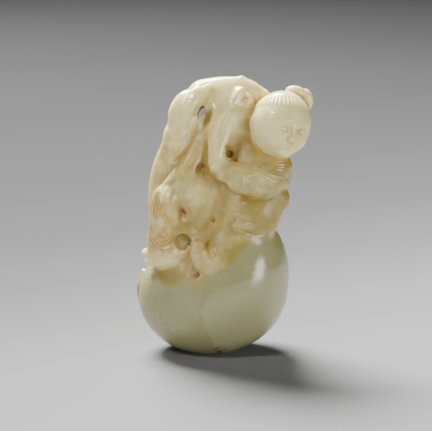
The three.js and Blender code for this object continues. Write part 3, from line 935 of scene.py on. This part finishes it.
# Olive stone in the holes; the spot at -3.4, 23.4 paints shade olive below the upper bulb.
OLIVE_SPOTS = (
    (-8.2, 21.9, 1.8, 0.95), (-4.3, 36.0, 1.4, 0.85), (-3.4, 23.4, 2.4, 0.65),
)
# Spots where the recess's honey stain and painted shade are weakened, so these places are painted
# lighter.
RECESS_EASED_SPOTS = (
    (-3.9, 50.2, 2.2, 1.0), (5.2, 48.4, 1.6, 0.9), (5.0, 45.6, 1.8, 0.9), (5.4, 42.4, 2.0, 0.7),
    (2.0, 39.6, 2.2, 0.5),
)
# Spots painted darker: those beside the raised arm are darker stone, and the three at the right and
# lower edge of the upper bulb are painted shade.
DARKER_STONE_AND_SHADE_SPOTS = (
    (3.2, 44.2, 2.0, 0.2), (3.4, 41.4, 1.8, 0.6), (2.6, 47.0, 1.3, 0.3), (-0.6, 30.4, 1.4, 0.9),
    (-1.2, 27.2, 1.5, 0.9), (-3.0, 24.3, 1.7, 0.9),
)
# Brown pits and smudges, except the spot at -1.0, -0.5, a painted contact shadow at the foot, and the
# one at -2.9, 24.4, painted shade below the upper bulb.
DIRT_AND_SHADOW_SPOTS = (
    (-8.2, 27.7, 0.8, 1.0), (-2.3, 26.2, 0.7, 0.9), (0.9, 39.4, 1.1, 0.8), (-4.2, 36.1, 1.3, 0.7),
    (-5.6, 15.3, 1.0, 0.9), (3.9, 50.0, 0.5, 0.9), (-17.0, 12.6, 1.4, 0.5),
    (-7.3, 21.6, 0.8, 0.7), (-8.3, 35.0, 1.0, 0.3), (12.4, 24.4, 1.2, 0.4), (8.0, 22.6, 1.6, 0.2),
    (-1.0, -0.5, 1.8, 0.9), (-7.0, 21.7, 0.9, 0.9), (-4.3, 36.9, 0.8, 0.8),
    (-8.3, 21.9, 1.5, 0.55), (-2.9, 24.4, 1.6, 0.4),
)
DULL_SPOTS = (
    (-1.6, 29.0, 2.6, 1.0), (-10.6, 26.0, 2.0, 0.9), (-7.4, 23.6, 1.6, 1.0), (-4.6, 41.5, 2.4, 0.9),
    (3.0, 45.0, 2.6, 1.0), (10.4, 29.6, 2.4, 0.9), (2.4, 41.0, 2.0, 0.9), (0.8, 24.0, 2.0, 0.8),
    (4.6, 39.2, 2.0, 1.0), (-9.0, 10.0, 8.0, 0.5), (-1.2, 21.9, 1.2, 0.8),
)

# The edge of the paler zone at the lower right of the gourd, as seen from the front: up, across.
PALE_EDGE = (
    (0.0, -1.6), (2.9, -2.8), (5.3, -3.9), (7.9, -4.5), (10.2, -3.9), (11.6, -2.6), (13.0, 0.1),
    (14.6, 5.0), (16.4, 9.0), (19.0, 16.0),
)


def spots(across, up, table):
    """The strongest of a table's soft spots at each place."""
    value = np.zeros(len(across))
    for x, y, radius, strength in table:
        gap = ((across - x) ** 2 + (up - y) ** 2) / radius ** 2
        value = np.maximum(value, strength * np.exp(-gap))
    return value


def keep(mesh, name, values):
    """Stores a value from 0 to 1 for each point."""
    attribute = mesh.attributes.new(name, "FLOAT", "POINT")
    attribute.data.foreach_set("value", np.clip(values, 0, 1).astype(np.float32))


# How far a point looks round for walls, how deep a line is fully stained, how far polish and
# tone reach from a form's surface, and how soft two edges are.
RECESS_REACHES = (0.5, 1.1, 2.2)
STAIN_DEPTH = 0.13
SHINE_RANGE = (0.16, 0.56)
TONE_RANGE = (0.18, 0.78)
RELIEF_SOFTNESS = 0.8
PALE_SOFTNESS = 0.35

# The spots' strength half way back, the depth over which they fade, and their least.
SPOTS_MIDDLE = 0.55
SPOTS_FADE = 9
SPOTS_LEAST = 0.3
RECESS_EASED_SHARE = 0.8

# The thin leaf on the gourd's side lies to the left of one place and below another.
SIDE_LEAF_ACROSS = -15.6
SIDE_LEAF_UP = 16.6
SIDE_LEAF_SOFTNESS = 0.5


def hollowness(stone, points):
    """How closed in each point is, from 0 in the open to 1 in a deep hole."""
    normals = stone.normal(points)
    recess = np.zeros(len(points))
    for reach in RECESS_REACHES:
        free = stone.sample(points + normals * reach) / reach
        recess += np.clip(1 - free, 0, 1) / len(RECESS_REACHES)
    return recess


def near_surface(form, place, full, gone):
    """1 up to the full distance from a form's surface, falling to 0 where it is gone."""
    return np.clip((gone - np.abs(form.distance(*place))) / (gone - full), 0, 1)


def relief_over_gourd(place, up):
    """0 on the gourd's green stone and in the olive places, 1 on the relief above it."""
    x = place[0]
    left, right = Blob(*GOURD_LEFT), Blob(*GOURD_RIGHT)
    gap = soft_min(left.distance(*place), right.distance(*place), GOURD_BLEND)
    side_leaf = np.clip((SIDE_LEAF_ACROSS - x) / SIDE_LEAF_SOFTNESS, 0, 1) * (up < SIDE_LEAF_UP)
    green = np.maximum(side_leaf, spots(x, up, OLIVE_SPOTS))
    return np.clip(gap / RELIEF_SOFTNESS, 0, 1) * (1 - green)


def paint(stone, mesh):
    """Stores what the material needs to know about each point."""
    points = points_of(mesh) / MM + [CENTRE_X, CENTRE_Y, 0]
    place = x, y, z = points.T
    up = z * math.cos(VIEW_TILT) + y * math.sin(VIEW_TILT)
    front = np.clip(SPOTS_MIDDLE - y / SPOTS_FADE, SPOTS_LEAST, 1)
    light = spots(x, up, PALE_AND_HIGHLIGHT_SPOTS)
    for form, tone in stone.tones:
        if tone:
            light = np.maximum(light, tone * near_surface(form, place, *TONE_RANGE))
    shine = np.zeros(len(points))
    for form in stone.polished:
        shine = np.maximum(shine, near_surface(form, place, *SHINE_RANGE))
    edge = np.interp(up, *np.transpose(PALE_EDGE))

    keep(mesh, "line", -stone.sample(points) / STAIN_DEPTH)
    keep(mesh, "shine", shine)
    keep(mesh, "honey", spots(x, up, HONEY_SPOTS) * front)
    keep(mesh, "russet", spots(x, up, RUSSET_SPOTS) * front)
    recess_eased = RECESS_EASED_SHARE * spots(x, up, RECESS_EASED_SPOTS)
    # The recess also tints the colour honey: partly the stone's own stain in its hollows, partly painted
    # shade.
    keep(mesh, "recess", hollowness(stone, points) * (1 - recess_eased))
    # How pale the stone is painted, with painted highlights and shade from the spot tables.
    keep(mesh, "light", light * (1 - spots(x, up, DARKER_STONE_AND_SHADE_SPOTS)))
    keep(mesh, "dirt_and_shadow", spots(x, up, DIRT_AND_SHADOW_SPOTS) * front)
    keep(mesh, "dull", spots(x, up, DULL_SPOTS) * front)
    keep(mesh, "relief", relief_over_gourd(place, up))
    keep(mesh, "pale", 0.5 + (x - edge) / PALE_SOFTNESS - np.maximum(y, 0))


class Nodes:
    """Short calls for building a material."""

    def __init__(self, name):
        self.material = bpy.data.materials.new(name)
        self.material.use_nodes = True
        self.tree = self.material.node_tree
        self.shader = self.tree.nodes["Principled BSDF"]
        self.place = self.new("TexCoord").outputs["Object"]

    def put(self, node, socket, value):
        """Links a socket, or sets its value."""
        if isinstance(value, bpy.types.NodeSocket):
            self.tree.links.new(value, node.inputs[socket])
        else:
            node.inputs[socket].default_value = value

    def new(self, kind, **inputs):
        """A node of a kind, with some of its inputs linked or set."""
        node = self.tree.nodes.new("ShaderNode" + kind)
        for socket, value in inputs.items():
            self.put(node, socket, value)
        return node

    def attribute(self, name):
        node = self.new("Attribute")
        node.attribute_name = name
        return node.outputs["Fac"]

    def noise(self, size, detail=2.0, rough=0.55, twist=0.0):
        """Smooth noise from 0 to 1, with features of about the given size in millimetres."""
        mapping = self.new("Mapping", Scale=[1 / (size * MM)] * 3, Vector=self.place)
        node = self.new("TexNoise", Vector=mapping.outputs["Vector"], Scale=1.0, Detail=detail,
                        Roughness=rough, Distortion=twist)
        return node.outputs["Fac"]

    def math(self, operation, a, b=0.0):
        node = self.new("Math")
        node.operation = operation
        self.put(node, 0, a)
        self.put(node, 1, b)
        return node.outputs[0]

    def add(self, a, b):
        return self.math("ADD", a, b)

    def times(self, a, b):
        return self.math("MULTIPLY", a, b)

    def ramp(self, value, low, high, top=1.0):
        """From 0 at the low value to top at the high one, with soft ends."""
        node = self.new("MapRange")
        node.interpolation_type = "SMOOTHSTEP"
        for i, part in enumerate((value, low, high, 0.0, top)):
            self.put(node, i, part)
        return node.outputs["Result"]

    def thread(self, size, thin, twist):
        """Fine winding threads: 1 on them and 0 beside."""
        wave = self.math("SUBTRACT", self.noise(size, 2.0, 0.6, twist), 0.5)
        return self.ramp(self.math("ABSOLUTE", wave), thin, 0.0)

    def mix(self, factor, a, b):
        node = self.new("Mix")
        node.data_type = "RGBA"
        self.put(node, 0, factor)
        self.put(node, 6, a)
        self.put(node, 7, b)
        return node.outputs[2]


OLIVE = (0.315, 0.30, 0.135, 1)
CREAM = (0.87, 0.785, 0.375, 1)
PALE = (0.385, 0.375, 0.20, 1)
BEIGE = (0.34, 0.25, 0.055, 1)
HONEY = (0.56, 0.335, 0.04, 1)
RUSSET = (0.50, 0.22, 0.035, 1)
ORANGE = (0.52, 0.26, 0.03, 1)
UMBER = (0.14, 0.085, 0.02, 1)


def jade_colour(nodes):
    """Cream relief over a green gourd with painted highlights and shade in its tones, then honey and
    painted shade in the hollows, russet, stained lines, brown marks with painted shadow, and specks.
    """
    clouds = nodes.noise(9.0, 3.0)
    mottle = nodes.noise(2.4, 4.0, 0.62, 0.4)
    light = nodes.add(nodes.attribute("light"), nodes.times(nodes.math("SUBTRACT", mottle, 0.5), 0.8))
    light = nodes.add(light, nodes.times(nodes.math("SUBTRACT", clouds, 0.5), 0.6))
    upper = nodes.mix(nodes.ramp(light, 0.0, 0.95), BEIGE, CREAM)
    streaks = nodes.add(clouds, nodes.times(mottle, 0.4))
    lower = nodes.mix(nodes.ramp(streaks, 0.45, 0.95, 0.5), OLIVE, PALE)
    lower = nodes.mix(nodes.times(nodes.attribute("pale"), 0.9), lower, PALE)
    colour = nodes.mix(nodes.ramp(nodes.attribute("relief"), 0.12, 0.55), lower, upper)

    honey = nodes.times(nodes.attribute("honey"), nodes.ramp(nodes.noise(3.0, 4.0, 0.6, 0.6), 0.3, 0.62))
    colour = nodes.mix(nodes.times(honey, 0.95), colour, HONEY)
    # Hollows are tinted honey: partly the stone's own stain, partly painted shade where less light
    # reaches.
    hollow_stain_and_shade = nodes.ramp(nodes.attribute("recess"), 0.15, 0.8, 0.65)
    hollow_stain_and_shade = nodes.times(hollow_stain_and_shade, nodes.ramp(nodes.attribute("relief"), 0.2, 0.9))
    colour = nodes.mix(hollow_stain_and_shade, colour, HONEY)

    russet = nodes.attribute("russet")
    stain = nodes.times(russet, nodes.ramp(nodes.noise(1.3, 3.0, 0.6, 0.8), 0.45, 0.7))
    threads = nodes.times(russet, nodes.thread(2.2, 0.045, 1.2))
    colour = nodes.mix(nodes.times(nodes.math("MAXIMUM", stain, threads), 0.75), colour, RUSSET)

    stained = nodes.times(nodes.attribute("line"), nodes.add(russet, 0.22))
    soil = nodes.mix(nodes.ramp(russet, 0.2, 0.6), UMBER, ORANGE)
    colour = nodes.mix(nodes.ramp(stained, 0.05, 0.8, 0.65), colour, soil)
    # Brown pits and smudges, with a painted contact shadow at the foot and painted shade below the upper
    # bulb.
    grime_and_shadow = nodes.times(nodes.attribute("dirt_and_shadow"), nodes.ramp(nodes.noise(0.7, 3.0, 0.65), 0.36, 0.6))
    colour = nodes.mix(nodes.ramp(grime_and_shadow, 0.1, 0.8, 0.9), colour, UMBER)

    specks = nodes.ramp(nodes.noise(0.55, 1.0), 0.71, 0.77)
    specks = nodes.times(specks, nodes.ramp(nodes.add(nodes.noise(5.0, 2.0), russet), 0.5, 0.8, 0.8))
    return nodes.mix(specks, colour, UMBER)


def jade_material():
    """Polished nephrite: light passes a little way in, and the hollows are duller."""
    nodes = Nodes("jade")
    shader = nodes.shader
    nodes.put(shader, "Base Color", jade_colour(nodes))
    polish = nodes.noise(1.6, 3.0)
    rough = nodes.add(nodes.times(polish, 0.16), nodes.times(nodes.attribute("recess"), 0.3))
    rough = nodes.add(rough, nodes.ramp(nodes.attribute("relief"), 0.1, 0.6, 0.08))
    rough = nodes.add(rough, nodes.times(nodes.attribute("dull"), 0.4))
    dim = nodes.math("SUBTRACT", 1.0, nodes.attribute("shine"))
    nodes.put(shader, "Roughness", nodes.add(nodes.times(rough, dim), 0.06))
    height = nodes.add(nodes.noise(0.9, 3.0, 0.6), nodes.times(nodes.noise(0.22, 2.0), 0.25))
    height = nodes.times(height, dim)
    bump = nodes.new("Bump", Strength=0.35, Distance=0.12 * MM, Height=height)
    nodes.put(shader, "Normal", bump.outputs["Normal"])
    shader.inputs["IOR"].default_value = 1.61
    shader.inputs["Subsurface Weight"].default_value = 0.45
    shader.inputs["Subsurface Radius"].default_value = (1.0, 0.92, 0.55)
    shader.inputs["Subsurface Scale"].default_value = 2.2 * MM
    return nodes.material


def soft_light(name, place, target, size, power, lean=0, spread=180):
    """An oval light in watts, turned by its lean and narrowed to its spread, in degrees."""
    light = bpy.data.lights.new(name, "AREA")
    light.shape = "ELLIPSE"
    light.size, light.size_y = size
    light.energy = power
    light.spread = math.radians(spread)
    holder = bpy.data.objects.new(name, light)
    holder.location = place
    aim = (Vector(target) - Vector(place)).to_track_quat("-Z", "Y")
    holder.rotation_euler = (aim @ Quaternion((0, 0, 1), math.radians(lean))).to_euler()
    bpy.context.collection.objects.link(holder)


# The floor's painted fall-off of light, darker further back: distance behind the stone in metres, and
# reflectance. The shades slant by so much of the distance to the right, which is measured from a start,
# so the right side is painted lighter.
FLOOR_SHADES = (
    (-0.06, 0.236), (-0.02, 0.204), (0.015, 0.154), (0.05, 0.117), (0.1, 0.084), (0.18, 0.062),
    (0.29, 0.05), (0.45, 0.045), (0.7, 0.052),
)
FLOOR_SLANT = 0.6
FLOOR_START = -0.037


def floor():
    """A pale sheet with painted fall-off of light: darker behind the stone and lighter to the right."""
    bpy.ops.mesh.primitive_plane_add(size=3)
    plane = bpy.context.object
    plane.name = "floor"
    nodes = Nodes("pale_floor")
    split = nodes.new("SeparateXYZ", Vector=nodes.place)
    near, far = FLOOR_SHADES[0][0], FLOOR_SHADES[-1][0]
    shift = nodes.times(nodes.math("SUBTRACT", split.outputs["X"], FLOOR_START), FLOOR_SLANT)
    depth = nodes.math("SUBTRACT", split.outputs["Y"], shift)
    way = nodes.math("DIVIDE", nodes.math("SUBTRACT", depth, near), far - near)
    ramp = nodes.new("ValToRGB", Fac=way)
    steps = ramp.color_ramp.elements
    steps.remove(steps[1])
    steps[0].color = [FLOOR_SHADES[0][1]] * 3 + [1]
    for place, shade in FLOOR_SHADES[1:]:
        steps.new((place - near) / (far - near)).color = (shade, shade, shade, 1)
    nodes.put(nodes.shader, "Base Color", ramp.outputs["Color"])
    nodes.shader.inputs["Roughness"].default_value = 0.9
    nodes.shader.inputs["Specular IOR Level"].default_value = 0.0
    plane.data.materials.append(nodes.material)


def studio():
    """A large light behind, one at each side, a small one above, and a faint sky."""
    middle = (0, 0, 0.028)
    soft_light("key", (-0.175, 0.35, 0.54), middle, (0.42, 0.25), 29)
    soft_light("right", (0.345, -0.335, 0.08), middle, (0.31, 0.19), 1.6, lean=40)
    soft_light("left", (-0.46, -0.42, 0.08), middle, (1.1, 0.24), 0.8)
    upper = (-0.004, -0.005, 0.044)
    soft_light("top", (-0.16, -0.16, 0.26), upper, (0.045, 0.085), 0.014, spread=26)
    world = bpy.data.worlds.new("studio")
    world.use_nodes = True
    background = world.node_tree.nodes["Background"]
    background.inputs["Color"].default_value = (0.95, 0.97, 1, 1)
    background.inputs["Strength"].default_value = 0.012
    bpy.context.scene.world = world


# The camera's distance, the width that it sees there, and the place that it looks at.
CAMERA_DISTANCE = 400
FRAME_WIDTH = 86.4
AIM = (-1.7, 27.1, 0)
SENSOR_WIDTH = 36


def camera():
    """A long lens from VIEW_TILT above level, straight in front."""
    data = bpy.data.cameras.new("camera")
    data.sensor_width = SENSOR_WIDTH
    data.lens = SENSOR_WIDTH * CAMERA_DISTANCE / FRAME_WIDTH
    data.clip_start = 0.01
    holder = bpy.data.objects.new("camera", data)
    aim = Vector(seen(*AIM)) - Vector((CENTRE_X, CENTRE_Y, 0))
    away = Vector((0, -math.cos(VIEW_TILT), math.sin(VIEW_TILT)))
    holder.location = (aim + away * CAMERA_DISTANCE) * MM
    holder.rotation_euler = (-away).to_track_quat("-Z", "Y").to_euler()
    bpy.context.collection.objects.link(holder)
    bpy.context.scene.camera = holder


camera()
floor()
studio()
piece = build_piece(make_stone())
piece.data.materials.append(jade_material())
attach(piece, "root")
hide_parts("jade_carving")
